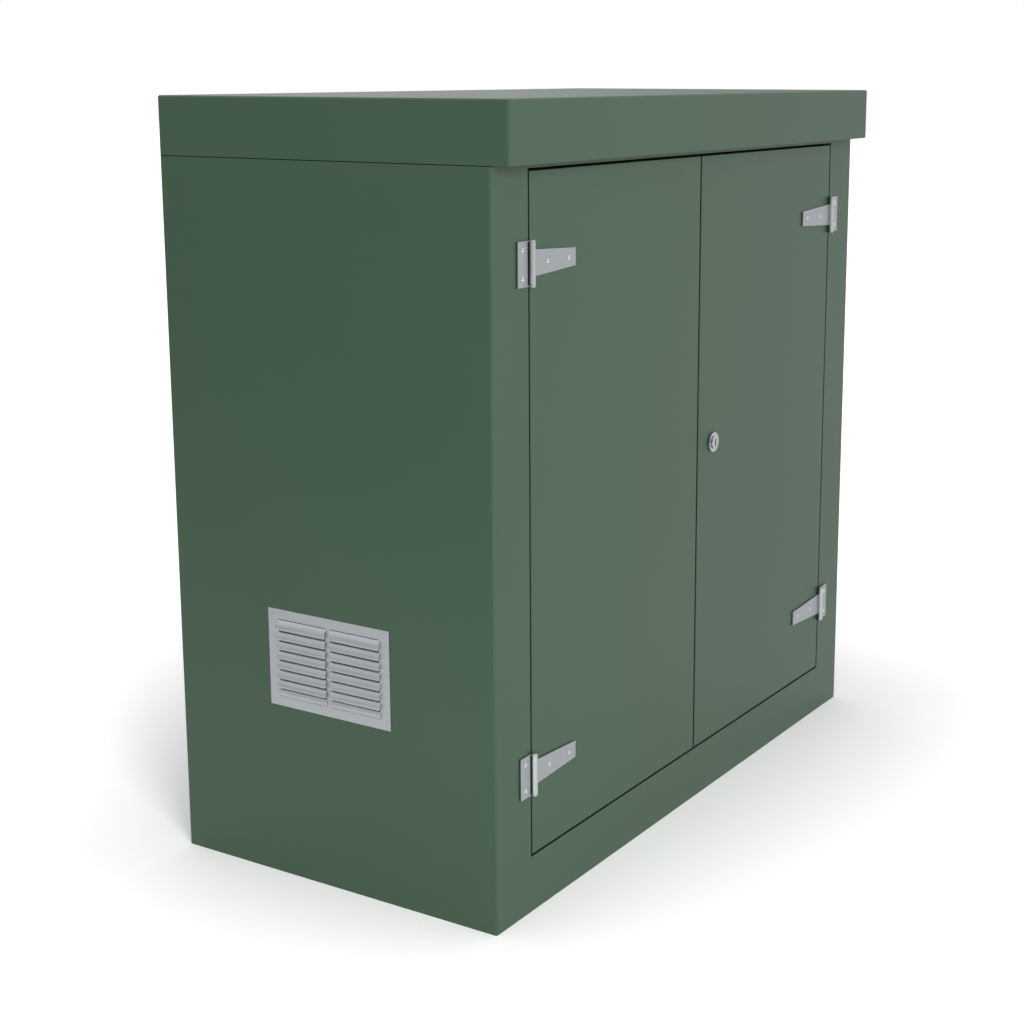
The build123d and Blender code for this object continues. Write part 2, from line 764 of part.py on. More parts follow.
def build():
    """Every node of the cabinet by name."""
    vent = louvre_vent()
    rivets = vent_rivets()
    nodes = {
        "body_shell": body_shell(),
        "roof_canopy": roof_canopy(),
        "roof_seal": roof_seal(),
        "roof_bolts": roof_bolts(),
        "door_seal": door_seal(),
        "vent_right": vent,
        "vent_left": to_left(vent),
        "vent_rivets_right": rivets,
        "vent_rivets_left": group(to_left(solid) for solid in rivets.solids()),
        "left_door_panel": left_door_panel(),
        "right_door_panel": door_panel(has_lock=True),
        "lock_body": lock_body(),
        "lock_nut": lock_nut(),
        "lock_plug": lock_plug(),
        "lock_cam": lock_cam(),
        "cam_screw": cam_screw(),
        "cam_keep": cam_keep(),
        "bolt_screws": bolt_screws(),
        "backboard": backboard(),
        "backboard_screws": backboard_screws(),
    }
    for name, level in hinge_levels.items():
        for kind, make in (("leaf", hinge_leaf), ("strap", hinge_strap), ("pin", hinge_pin)):
            piece = make(level)
            nodes[f"hinge_{kind}_right_{name}"] = piece
            nodes[f"hinge_{kind}_left_{name}"] = to_left(piece)
        nodes[f"backboard_rail_{name}"] = backboard_rail(name)
    leaf_gaskets = [leaf_gasket(level) for level in hinge_levels.values()]
    strap_gaskets = [strap_gasket(level) for level in hinge_levels.values()]
    nodes["frame_hinge_gaskets"] = group(leaf_gaskets + [to_left(gasket) for gasket in leaf_gaskets])
    nodes["right_strap_gaskets"] = group(strap_gaskets)
    nodes["left_strap_gaskets"] = group(to_left(gasket) for gasket in strap_gaskets)
    for name in bolt_ends():
        nodes[f"shoot_bolt_{name}"] = shoot_bolt(name)
        nodes[f"bolt_bracket_{name}"] = bolt_bracket_plate(name)
        nodes[f"bolt_keep_{name}"] = bolt_keep(name)
    right_leaves = leaf_screw_places()
    both_leaves = right_leaves + [(-x, z) for x, z in right_leaves]
    right_straps = strap_screw_places()
    left_straps = [(-x, z) for x, z in right_straps]
    nodes["frame_hinge_screws"] = group(hinge_screws(both_leaves, wall))
    nodes["frame_hinge_nuts"] = group(hinge_nuts(both_leaves, wall))
    nodes["right_strap_screws"] = group(hinge_screws(right_straps, hinge_pad_depth))
    nodes["right_strap_nuts"] = group(hinge_nuts(right_straps, hinge_pad_depth))
    nodes["left_strap_screws"] = group(hinge_screws(left_straps, hinge_pad_depth))
    nodes["left_strap_nuts"] = group(hinge_nuts(left_straps, hinge_pad_depth))
    return nodes


os.makedirs("parts", exist_ok=True)
for node_name, solid in build().items():
    export_step(solid, f"parts/{node_name}.step")
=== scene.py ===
# %% [markdown]
# # A roadside utility cabinet, dressed for its picture
# The solids come from the part's source and are already the right size, so this lesson is about looks:
# the camera and the light, the finishes as shader nodes, and the small hardware that reads better as a
# hand-made mesh. Everything is in metres, the doors face minus Y, and the ground is at zero.

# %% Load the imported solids
import json
import math
import bpy
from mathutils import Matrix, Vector


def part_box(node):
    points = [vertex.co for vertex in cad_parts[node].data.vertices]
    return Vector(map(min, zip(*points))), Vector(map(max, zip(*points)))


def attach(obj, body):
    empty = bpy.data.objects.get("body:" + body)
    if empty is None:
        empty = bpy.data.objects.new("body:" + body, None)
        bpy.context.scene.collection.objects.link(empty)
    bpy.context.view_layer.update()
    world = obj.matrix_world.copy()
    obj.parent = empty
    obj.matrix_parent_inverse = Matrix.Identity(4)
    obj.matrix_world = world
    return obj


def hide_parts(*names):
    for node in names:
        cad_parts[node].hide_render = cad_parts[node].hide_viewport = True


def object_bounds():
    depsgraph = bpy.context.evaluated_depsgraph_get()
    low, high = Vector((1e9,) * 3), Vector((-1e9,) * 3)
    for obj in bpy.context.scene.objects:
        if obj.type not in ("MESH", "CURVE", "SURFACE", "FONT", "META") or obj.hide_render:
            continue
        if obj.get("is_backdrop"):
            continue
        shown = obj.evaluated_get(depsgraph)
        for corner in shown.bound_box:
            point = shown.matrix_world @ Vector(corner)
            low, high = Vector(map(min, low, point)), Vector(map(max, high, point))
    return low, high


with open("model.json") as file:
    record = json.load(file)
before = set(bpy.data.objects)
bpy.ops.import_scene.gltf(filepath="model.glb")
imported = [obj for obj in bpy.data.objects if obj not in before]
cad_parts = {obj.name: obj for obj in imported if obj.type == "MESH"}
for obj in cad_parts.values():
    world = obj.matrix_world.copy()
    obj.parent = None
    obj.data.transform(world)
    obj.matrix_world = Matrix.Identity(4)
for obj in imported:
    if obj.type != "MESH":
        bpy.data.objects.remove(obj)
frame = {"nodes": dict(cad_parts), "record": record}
cad_low, cad_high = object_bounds()
nodes = frame["nodes"]
millimetre = 0.001
print("box from", [round(v, 4) for v in cad_low], "to", [round(v, 4) for v in cad_high])

# %% [markdown]
# ## The camera
# The photograph was taken from the front left, a little above the cabinet. A wide lens close by would
# make the uprights lean, so this is a longer lens from further off, which keeps them almost parallel. The
# picture is a crop, so its middle is not where the lens pointed: the lens shift says how far off it is.

# %% Camera
camera_place = (-2.5637, -1.6436, 1.2267)
camera_dip = 11.39
camera_heading = -58.01
camera_turn = (math.radians(90 - camera_dip), 0.0, math.radians(camera_heading))
bpy.ops.object.select_all(action="DESELECT")
bpy.ops.object.camera_add(location=camera_place, rotation=camera_turn)
camera = bpy.context.object
camera.name = "photo_camera"
camera.data.sensor_width = 36.0
camera.data.lens = 62.9
camera.data.shift_x = -0.0596
camera.data.shift_y = -0.0798
bpy.context.scene.camera = camera
bpy.context.scene.view_settings.view_transform = "Standard"
print("lens", camera.data.lens, "mm at", camera_place)

# %% [markdown]
# ## Node helpers
# A finish is a small graph of nodes, and so is the light of the studio. Such a graph could be drawn by
# hand in the shader editor. In a script the same few steps come back all the time, so each has a short
# helper. A value that is a socket gets a wire, and any other value is typed into the input.

# %% Node helpers


def wire(tree, source, target):
    tree.links.new(source, target)


def fill(tree, node, values):
    """Wires or types each value into the input of that name or number."""
    for name, value in values.items():
        if isinstance(value, bpy.types.NodeSocket):
            wire(tree, value, node.inputs[name])
        else:
            node.inputs[name].default_value = value
    return node


def maths(tree, operation, first, second):
    """One sum on two numbers."""
    node = tree.nodes.new("ShaderNodeMath")
    node.operation = operation
    return fill(tree, node, {0: first, 1: second}).outputs["Value"]


def vector_maths(tree, operation, first, second=(0, 0, 0)):
    """One sum on two vectors. Both outputs come back: a length is its Value, a difference its Vector."""
    node = tree.nodes.new("ShaderNodeVectorMath")
    node.operation = operation
    return fill(tree, node, {0: first, 1: second}).outputs


def span(tree, value, start, end, low=0.0, high=1.0):
    """Goes from low to high while the value goes from start to end."""
    node = tree.nodes.new("ShaderNodeMapRange")
    ends = {"From Min": start, "From Max": end, "To Min": low, "To Max": high}
    return fill(tree, node, {"Value": value, **ends}).outputs["Result"]


def mix_values(tree, mask, first, second):
    """The first number where the mask is black, and the second where it is white."""
    node = tree.nodes.new("ShaderNodeMix")
    return fill(tree, node, {"Factor": mask, "A": first, "B": second}).outputs["Result"]


def mix_colours(tree, mask, first, second):
    """The same for two colours, whose sockets have their own numbers on the node."""
    node = tree.nodes.new("ShaderNodeMix")
    node.data_type = "RGBA"
    return fill(tree, node, {"Factor": mask, 6: first, 7: second}).outputs[2]


print("node helpers ready")

# %% [markdown]
# ## The floor
# The cabinet stands on a pale studio floor, which throws soft light back at it and takes its shadow. A
# floor of one plain white would come out grey, and a stronger lamp would bleach the paint too. So the
# floor is a mid grey for the light that bounces off it, and the Light Path node makes it whiter only
# where the camera or a shiny surface looks at it. For the camera it is darker near the foot and whiter
# away from it: a painted shadow that makes the shadow a soft grey rim. Shiny things see that only one
# side of the studio is bright, to the right of the doors: elsewhere the floor goes grey far out. That
# gives bright metal a dark side.

# %% Floor
floor_half = 30.0
bpy.ops.mesh.primitive_plane_add(size=2 * floor_half, location=(0, 0, 0))
floor = bpy.context.object
floor.name = "studio_floor"
floor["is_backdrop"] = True
print("floor", 2 * floor_half, "m wide")

# %% Floor finish
bright_side = (0.5, -0.866, 0.0)
foot = (cad_high[0], cad_high[1], 0.0)
floor_bounce = 0.36
floor_in_view_painted_shadow = (1.09, 1.84)
painted_shadow_reach = 1.0
floor_in_mirror_near = 1.00
floor_in_mirror_far = (0.60, 1.10)
bright_reach = 3.0
near_reach = 1.0
far_reach = 5.0
floor_finish = bpy.data.materials.new("studio_floor")
floor_finish.use_nodes = True
tree = floor_finish.node_tree
tree.nodes.clear()
point = tree.nodes.new("ShaderNodeTexCoord").outputs["Object"]
unsigned = vector_maths(tree, "ABSOLUTE", point)["Vector"]
past_foot = vector_maths(tree, "SUBTRACT", unsigned, foot)["Vector"]
outside = vector_maths(tree, "MAXIMUM", past_foot)["Vector"]
from_foot = vector_maths(tree, "LENGTH", outside)["Value"]
# Painted shadow: for the camera the floor is darker near the cabinet's foot and white further out.
seen_with_painted_shadow = span(tree, from_foot, 0.0, painted_shadow_reach, *floor_in_view_painted_shadow)
to_bright_side = vector_maths(tree, "DOT_PRODUCT", point, bright_side)["Value"]
far_out = span(tree, to_bright_side, 0.0, bright_reach, *floor_in_mirror_far)
from_middle = vector_maths(tree, "LENGTH", point)["Value"]
mirrored = span(tree, from_middle, near_reach, far_reach, floor_in_mirror_near, far_out)
path = tree.nodes.new("ShaderNodeLightPath").outputs
bounced = mix_values(tree, path["Is Glossy Ray"], floor_bounce, mirrored)
white = mix_values(tree, path["Is Camera Ray"], bounced, seen_with_painted_shadow)
floor_shader = tree.nodes.new("ShaderNodeBsdfDiffuse")
floor_output = tree.nodes.new("ShaderNodeOutputMaterial")
wire(tree, white, floor_shader.inputs["Color"])
wire(tree, floor_shader.outputs["BSDF"], floor_output.inputs["Surface"])
floor.data.materials.append(floor_finish)
print("floor finish:", len(tree.nodes), "nodes")

# %% [markdown]
# ## The sweep
# A sweep is a white sheet that curves up behind the thing, so light comes from all round and the
# background is white. It could be modelled, but a white world does the same with no edges to hide. It has
# one level as light and is plain white for the camera. Shiny things see it in a third way: overhead it is
# white, and along the horizon it is grey, then paler, then dark, and white at the bright side. The flat
# roof is seen at such a low angle that it mirrors that horizon.

# %% Sweep
sweep_light = 0.70
overhead = 0.7
horizon_in_mirror = (
    (0.0, 0.50), (0.3, 0.50), (0.40, 0.72), (0.465, 0.70),
    (0.52, 0.34), (0.58, 0.06), (0.77, 0.46), (0.97, 0.94),
)
world = bpy.data.worlds.new("white_sweep")
bpy.context.scene.world = world
world.use_nodes = True
tree = world.node_tree
sky = tree.nodes["Background"]
sky.inputs["Color"].default_value = (1, 1, 1, 1)
direction = tree.nodes.new("ShaderNodeTexCoord").outputs["Generated"]
to_bright_side = vector_maths(tree, "DOT_PRODUCT", direction, bright_side)["Value"]
horizon = tree.nodes.new("ShaderNodeValToRGB")
wire(tree, span(tree, to_bright_side, -1.0, 1.0), horizon.inputs["Fac"])
stops = horizon.color_ramp.elements
stops.remove(stops[1])
stops[0].position = horizon_in_mirror[0][0]
stops[0].color = (horizon_in_mirror[0][1],) * 3 + (1,)
for spot, level in horizon_in_mirror[1:]:
    stop = stops.new(spot)
    stop.color = (level, level, level, 1)
axes = tree.nodes.new("ShaderNodeSeparateXYZ")
wire(tree, direction, axes.inputs["Vector"])
mirrored = span(tree, axes.outputs["Z"], 0.0, overhead, horizon.outputs["Color"], 1.0)
path = tree.nodes.new("ShaderNodeLightPath").outputs
lit = mix_values(tree, path["Is Glossy Ray"], sweep_light, mirrored)
wire(tree, mix_values(tree, path["Is Camera Ray"], lit, 1.0), sky.inputs["Strength"])
print("world:", world.name, "with", len(stops), "levels along its horizon")

# %% [markdown]
# ## The softbox
# In the photograph the doors are a little lighter than the side, and no shadow has a hard edge. A sun or
# a small lamp would draw one, so the lamp is a wide disk beside the camera. Shiny surfaces don't see it,
# because they would show it as a round white spot.

# %% Softbox
softbox_power = 99.0
softbox_width = 1.6
softbox_place = (-2.7, -2.9, 2.0)
softbox_aim = (-0.3, 0.0, 0.6)
bpy.ops.object.light_add(type="AREA", location=softbox_place)
softbox = bpy.context.object
softbox.name = "softbox"
softbox.data.shape = "DISK"
softbox.data.size = softbox_width
softbox.data.energy = softbox_power
beam = Vector(softbox_aim) - Vector(softbox_place)
softbox.rotation_euler = beam.to_track_quat("-Z", "Y").to_euler()
softbox.visible_glossy = False
print("softbox at", softbox_place, "of", softbox_power, "W")

# %% [markdown]
# ## Groups and materials
# What several finishes share is a node group: it is built once, and each material places it with its own
# values. The alternative, the same nodes copied into every material, is soon out of step. These helpers
# make a group or a material, place a group in one, and turn a mask into a bump.

# %% Groups and materials
number = "NodeSocketFloat"
vector = "NodeSocketVector"
colour = "NodeSocketColor"


def new_group(name, inputs, outputs):
    group = bpy.data.node_groups.new(name, "ShaderNodeTree")
    for label, kind in inputs.items():
        group.interface.new_socket(name=label, in_out="INPUT", socket_type=kind)
    for label, kind in outputs.items():
        group.interface.new_socket(name=label, in_out="OUTPUT", socket_type=kind)
    start = group.nodes.new("NodeGroupInput")
    end = group.nodes.new("NodeGroupOutput")
    return group, start.outputs, end.inputs


def place(tree, group, **values):
    """Places a shared group and gives its one output."""
    node = tree.nodes.new("ShaderNodeGroup")
    node.node_tree = bpy.data.node_groups[group]
    return fill(tree, node, values).outputs[0]


def new_material(name):
    material = bpy.data.materials.new(name)
    material.use_nodes = True
    return material, material.node_tree, material.node_tree.nodes["Principled BSDF"]


def bump(tree, height, strength, distance):
    node = tree.nodes.new("ShaderNodeBump")
    values = {"Height": height, "Strength": strength, "Distance": distance}
    return fill(tree, node, values).outputs["Normal"]


print("group and material helpers ready")

# %% [markdown]
# ## Grain
# No real finish is quite even: paint drifts, metal is brushed, wood has fibres. A picture of the surface
# could supply that, but noise on the object's own coordinates needs no picture and has no seams. A
# stretch that differs along the three axes turns round specks into brush lines or fibres.

# %% Grain
noise_range = (0.28, 0.72)
evenly = (1, 1, 1)
group, given, result = new_group(
    "grain", {"Scale": number, "Stretch": vector, "Detail": number}, {"Mask": number})
point = group.nodes.new("ShaderNodeTexCoord").outputs["Object"]
stretched = vector_maths(group, "MULTIPLY", point, given["Stretch"])["Vector"]
noise = group.nodes.new("ShaderNodeTexNoise")
fill(group, noise, {"Vector": stretched, "Scale": given["Scale"], "Detail": given["Detail"]})
wire(group, span(group, noise.outputs["Fac"], *noise_range), result["Mask"])
print("grain group:", len(group.nodes), "nodes")

# %% [markdown]
# ## Tone
# A mask still has to become a colour. Two colours could be mixed, but then every finish needs a second
# one that suits the first. Tone makes one colour lighter and darker round its own value, so the hue
# stays.

# %% Tone
group, given, result = new_group(
    "tone", {"Colour": colour, "Mask": number, "Amount": number}, {"Colour": colour})
centred = maths(group, "SUBTRACT", given["Mask"], 0.5)
swing = maths(group, "MULTIPLY", centred, given["Amount"])
doubled = maths(group, "MULTIPLY", swing, 2.0)
value = maths(group, "ADD", doubled, 1.0)
shift = group.nodes.new("ShaderNodeHueSaturation")
fill(group, shift, {"Color": given["Colour"], "Value": value})
wire(group, shift.outputs["Color"], result["Colour"])
print("tone group:", len(group.nodes), "nodes")

# %% [markdown]
# ## Room
# Some pieces have two finishes, such as a moulding that is smooth outside and rough inside. Faces could
# be given a second material, but the solids' meshes are left alone here. Room tells the places apart by
# where they lie: its mask is white in the box between two corners.

# %% Room
group, given, result = new_group("room", {"Low": vector, "High": vector}, {"Mask": number})
point = group.nodes.new("ShaderNodeTexCoord").outputs["Object"]
over_low = vector_maths(group, "SUBTRACT", point, given["Low"])["Vector"]
under_high = vector_maths(group, "SUBTRACT", given["High"], point)["Vector"]
nearest = vector_maths(group, "MINIMUM", over_low, under_high)["Vector"]
axes = group.nodes.new("ShaderNodeSeparateXYZ")
wire(group, nearest, axes.inputs["Vector"])
least = maths(group, "MINIMUM", axes.outputs["X"], axes.outputs["Y"])
least = maths(group, "MINIMUM", least, axes.outputs["Z"])
wire(group, maths(group, "GREATER_THAN", least, 0.0), result["Mask"])
print("room group:", len(group.nodes), "nodes")

# %% [markdown]
# ## Edge
# Paint rubs thin and metal is polished along edges. That could be painted by hand, piece by piece. The
# Bevel node finds the edges by itself: it gives the normal of a rounded-over surface, which differs from
# the real one only near an edge. Patches of grain keep the wear from being an even outline.

# %% Edge
flat_likeness = 0.98
edge_likeness = 0.75
group, given, result = new_group("edge", {"Radius": number}, {"Mask": number})
rounded = group.nodes.new("ShaderNodeBevel")
wire(group, given["Radius"], rounded.inputs["Radius"])
surface = group.nodes.new("ShaderNodeNewGeometry")
likeness = vector_maths(group, "DOT_PRODUCT", rounded.outputs["Normal"], surface.outputs["Normal"])["Value"]
near_edge = span(group, likeness, flat_likeness, edge_likeness)
patches = place(group, "grain", Scale=35.0, Stretch=evenly, Detail=3.0)
wire(group, maths(group, "MULTIPLY", near_edge, patches), result["Mask"])
print("edge group:", len(group.nodes), "nodes")

# %% [markdown]
# ## Strands
# The back of a glass-fibre moulding shows the chopped glass that was rolled into it. Modelled fibres
# would be far too many, so noise is drawn out into long thin streaks in three directions, and the highest
# streak shows.

# %% Strands
strand_turns = ((0.1, 0.6, 0.3), (0.7, -0.5, 1.1), (-0.6, 1.3, -0.4))
strand_stretch = (1, 1, 16.0)
strand_range = (0.48, 0.68)
group, given, result = new_group("strands", {"Scale": number}, {"Mask": number})
point = group.nodes.new("ShaderNodeTexCoord").outputs["Object"]
mat = 0.0
for turn in strand_turns:
    turned = group.nodes.new("ShaderNodeMapping")
    turned.vector_type = "TEXTURE"
    fill(group, turned, {"Vector": point, "Rotation": turn, "Scale": strand_stretch})
    noise = group.nodes.new("ShaderNodeTexNoise")
    fill(group, noise, {"Vector": turned.outputs["Vector"], "Scale": given["Scale"], "Detail": 1.0})
    mat = maths(group, "MAXIMUM", mat, span(group, noise.outputs["Fac"], *strand_range))
wire(group, mat, result["Mask"])
print("strands group:", len(group.nodes), "nodes")

# %% [markdown]
# ## Gelcoat
# A glass-fibre moulding leaves its mould with a thin coloured gelcoat on the outside: satin, even, and a
# touch wavy where the fibres print through. The inside is rolled by hand, so it is a paler flow coat over
# a coarse mat of chopped strands. One material does both, with a box of room for the inside. A second box
# paints shade into the gaps round the doors: it darkens the first few millimetres behind their faces.

# %% Painted shade in the door gaps
gap_margin = 18.0 * millimetre
painted_shade_start = 0.4 * millimetre
painted_shade_end = 3.8 * millimetre
left_door_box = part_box("left_door_panel")
right_door_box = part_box("right_door_panel")
door_face = left_door_box[0][1]
painted_shade_low = (left_door_box[0][0] - gap_margin, door_face + painted_shade_start, left_door_box[0][2] - gap_margin)
painted_shade_high = (right_door_box[1][0] + gap_margin, door_face + painted_shade_end, right_door_box[1][2] + gap_margin)
print("grime from", [round(v, 4) for v in painted_shade_low], "to", [round(v, 4) for v in painted_shade_high])

# %% Gelcoat
gelcoat_green = (0.031, 0.081, 0.040, 1)
rubbed_green = (0.075, 0.140, 0.090, 1)
rubbed_share = 0.35
# Painted shade: a near-black green that darkens the gelcoat in the door gaps, where shade falls.
painted_shade_green = (0.004, 0.009, 0.005, 1)
painted_shade_share = 0.85
flow_coat_grey = (0.34, 0.36, 0.33, 1)
gelcoat_roughness = (0.32, 0.38)
flow_coat_roughness = 0.55
peel_height = 0.012


def gelcoat(name, box, from_low, from_high):
    """Gelcoat on a moulding, and flow coat where it lies deeper in its box than these distances."""
    material, tree, shader = new_material(name)
    low = Vector(box[0]) + Vector(from_low)
    high = Vector(box[1]) - Vector(from_high)
    inside = place(tree, "room", Low=low, High=high)
    drift = place(tree, "grain", Scale=5.0, Stretch=evenly, Detail=2.0)
    even = place(tree, "tone", Colour=gelcoat_green, Mask=drift, Amount=0.02)
    rubbed = place(tree, "edge", Radius=2.0 * millimetre)
    worn = mix_colours(tree, maths(tree, "MULTIPLY", rubbed, rubbed_share), even, rubbed_green)
    # Painted shade in the door gaps: the box behind the doors' faces is darkened towards a near-black
    # green.
    painted_gap_shade = place(tree, "room", Low=painted_shade_low, High=painted_shade_high)
    outer = mix_colours(tree, maths(tree, "MULTIPLY", painted_gap_shade, painted_shade_share), worn, painted_shade_green)
    strands = place(tree, "strands", Scale=260.0)
    patchy = place(tree, "tone", Colour=flow_coat_grey, Mask=drift, Amount=0.05)
    inner = place(tree, "tone", Colour=patchy, Mask=strands, Amount=0.09)
    wire(tree, mix_colours(tree, inside, outer, inner), shader.inputs["Base Color"])
    peel = place(tree, "grain", Scale=420.0, Stretch=evenly, Detail=1.0)
    satin = mix_values(tree, peel, *gelcoat_roughness)
    wire(tree, mix_values(tree, inside, satin, flow_coat_roughness), shader.inputs["Roughness"])
    height = mix_values(tree, inside, maths(tree, "MULTIPLY", peel, peel_height), strands)
    normal = bump(tree, height, strength=0.5, distance=1.0 * millimetre)
    wire(tree, normal, shader.inputs["Normal"])
    shader.inputs["IOR"].default_value = 1.58
    return material


print("gelcoat maker ready")

# %% [markdown]
# ## The four mouldings
# The body, the roof and the two doors each have their own inside, so each gets its own gelcoat. Its box
# comes from the solid: a little less than the wall is left as gelcoat, more at the body's front, where
# the frame and the door stop are seen, and next to nothing where a moulding is open.

# %% Gelcoat on the four mouldings
wall_skin = 5.2 * millimetre
stop_depth = 40.1 * millimetre
foot_edge = 0.2 * millimetre
spigot_lip = 6.5 * millimetre
door_rim = 5.3 * millimetre
door_skin = 3.5 * millimetre
open_side = -100.0 * millimetre
shell_gelcoat = gelcoat(
    "shell_gelcoat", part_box("body_shell"),
    (wall_skin, stop_depth, foot_edge), (wall_skin, wall_skin, spigot_lip))
roof_gelcoat = gelcoat(
    "roof_gelcoat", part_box("roof_canopy"),
    (wall_skin, wall_skin, open_side), (wall_skin, wall_skin, wall_skin))
left_gelcoat = gelcoat(
    "left_door_gelcoat", left_door_box,
    (door_rim, door_skin, door_rim), (door_rim, open_side, door_rim))
right_gelcoat = gelcoat(
    "right_door_gelcoat", right_door_box,
    (door_rim, door_skin, door_rim), (door_rim, open_side, door_rim))
print("gelcoat on the body, the roof and both doors")

# %% [markdown]
# ## Metals
# A bare metal is its own reflectance, a roughness that changes with its grain, and a very low bump of the
# same grain. One even grey would look like plastic. Edges that are rubbed are brighter and smoother. One
# function makes the plain ones: the pressed aluminium of the vents, the steel of the screws and shoot
# bolts, and the zinc plating of the fixings inside.

# %% Metals
rubbed_radius = 0.8 * millimetre
rubbed_gain = 0.15
grain_depth = 0.2 * millimetre
brushed_level = (1, 0.05, 1)
drawn_upright = (1, 1, 0.05)


def rub_edges(tree, shader, plain):
    """Wires a metal's colour, brighter along its rubbed edges, and gives the mask of those edges."""
    rubbed = place(tree, "edge", Radius=rubbed_radius)
    bright = place(tree, "tone", Colour=plain, Mask=1.0, Amount=rubbed_gain)
    wire(tree, mix_colours(tree, rubbed, plain, bright), shader.inputs["Base Color"])
    return rubbed


def metal(name, tint, smooth, rough, scale, stretch, amount, relief):
    material, tree, shader = new_material(name)
    mask = place(tree, "grain", Scale=scale, Stretch=stretch, Detail=3.0)
    grained = place(tree, "tone", Colour=tint, Mask=mask, Amount=amount)
    rubbed = rub_edges(tree, shader, grained)
    satin = mix_values(tree, mask, smooth, rough)
    wire(tree, mix_values(tree, rubbed, satin, smooth), shader.inputs["Roughness"])
    wire(tree, bump(tree, mask, relief, grain_depth), shader.inputs["Normal"])
    shader.inputs["Metallic"].default_value = 1.0
    return material


vent_metal = metal("vent_aluminium", tint=(0.51, 0.53, 0.555, 1), smooth=0.36, rough=0.46,
                   scale=300.0, stretch=brushed_level, amount=0.05, relief=0.10)
screw_metal = metal("screw_steel", tint=(0.70, 0.71, 0.72, 1), smooth=0.10, rough=0.16,
                    scale=400.0, stretch=evenly, amount=0.05, relief=0.05)
zinc_metal = metal("zinc_plating", tint=(0.60, 0.60, 0.56, 1), smooth=0.30, rough=0.42,
                   scale=300.0, stretch=evenly, amount=0.08, relief=0.10)
bolt_metal = metal("bolt_steel", tint=(0.50, 0.50, 0.50, 1), smooth=0.26, rough=0.40,
                   scale=200.0, stretch=drawn_upright, amount=0.08, relief=0.08)
print("metals:", vent_metal.name, screw_metal.name, zinc_metal.name, bolt_metal.name)

# %% [markdown]
# ## Hinges
# A tee hinge is satin zinc-coated sheet, and its rolled barrel is smoother than the flat plates. The
# barrel is also painted brighter, a painted sheen on the same sheet. A plate and its knuckles are one
# solid, so the barrel is found by its depth: it is what stands proud of the plates.

# %% Hinges
plate_front = -288.0 * millimetre
barrel_lift = 0.2 * millimetre
barrel_reach = 12.0 * millimetre
plate_tint = (0.466, 0.484, 0.505, 1)
# Painted sheen: the barrel gets a brighter tint than the plates, though both are the same zinc-coated
# sheet.
painted_sheen_barrel_tint = (0.58, 0.595, 0.61, 1)
plate_roughness = (0.38, 0.50)
barrel_roughness = 0.24


def slab(tree, front, back):
    """Mask of what lies between two depths, all over the front of the cabinet."""
    low = (cad_low[0], front, cad_low[2])
    high = (cad_high[0], back, cad_high[2])
    return place(tree, "room", Low=low, High=high)


hinge_metal, tree, shader = new_material("hinge_zinc")
barrel = slab(tree, plate_front - barrel_reach, plate_front - barrel_lift)
mask = place(tree, "grain", Scale=160.0, Stretch=evenly, Detail=3.0)
# The brighter barrel tint here is painted sheen; only the roughness below is a real difference.
tint = mix_colours(tree, barrel, plate_tint, painted_sheen_barrel_tint)
rub_edges(tree, shader, place(tree, "tone", Colour=tint, Mask=mask, Amount=0.05))
satin = mix_values(tree, mask, *plate_roughness)
wire(tree, mix_values(tree, barrel, satin, barrel_roughness), shader.inputs["Roughness"])
wire(tree, bump(tree, mask, 0.08, grain_depth), shader.inputs["Normal"])
shader.inputs["Metallic"].default_value = 1.0
print("hinge finish:", len(tree.nodes), "nodes")

# %% [markdown]
# ## Lock
# The lock is turned and plated. Its faces are bright, and its turned sides, round the collar and round
# the flange, are painted darker, as a painted dark reflection on the same plating. They are told apart
# by their depth again: the collar's side ends at the flange's face, and the flange's edge begins just
# behind it.

# %% Lock
collar_front = -291.3 * millimetre
flange_front = -288.8 * millimetre
flange_back = -284.0 * millimetre
before_flange = 0.05 * millimetre
behind_flange = 0.04 * millimetre
face_tint = (0.58, 0.58, 0.61, 1)
# Painted dark reflection: the turned sides get this darker tint, though they are the same plating.
painted_reflection_tint = (0.30, 0.30, 0.35, 1)
plating_roughness = (0.08, 0.14)
lock_metal, tree, shader = new_material("lock_plating")
collar_side = slab(tree, collar_front, flange_front - before_flange)
flange_edge = slab(tree, flange_front + behind_flange, flange_back)
# Mask of the turned sides, where the painted dark reflection goes.
painted_reflection_area = maths(tree, "MAXIMUM", collar_side, flange_edge)
mask = place(tree, "grain", Scale=500.0, Stretch=evenly, Detail=3.0)
tint = mix_colours(tree, painted_reflection_area, face_tint, painted_reflection_tint)
wire(tree, place(tree, "tone", Colour=tint, Mask=mask, Amount=0.04), shader.inputs["Base Color"])
wire(tree, mix_values(tree, mask, *plating_roughness), shader.inputs["Roughness"])
wire(tree, bump(tree, mask, 0.04, grain_depth), shader.inputs["Normal"])
shader.inputs["Metallic"].default_value = 1.0
print("lock finish:", len(tree.nodes), "nodes")

# %% [markdown]
# ## Foam
# The seals are black closed-cell foam, matt and finely pitted. The pits are too small to model, so one
# fine grain darkens and sinks them, and varies how matt the foam is.

# %% Foam
foam_black = (0.012, 0.012, 0.013, 1)
foam_roughness = (0.75, 0.95)
pit_depth = 0.4 * millimetre
foam, tree, shader = new_material("seal_foam")
pits = place(tree, "grain", Scale=900.0, Stretch=evenly, Detail=2.0)
wire(tree, place(tree, "tone", Colour=foam_black, Mask=pits, Amount=0.4), shader.inputs["Base Color"])
wire(tree, mix_values(tree, pits, *foam_roughness), shader.inputs["Roughness"])
wire(tree, bump(tree, pits, 0.4, pit_depth), shader.inputs["Normal"])
print("foam finish:", len(tree.nodes), "nodes")

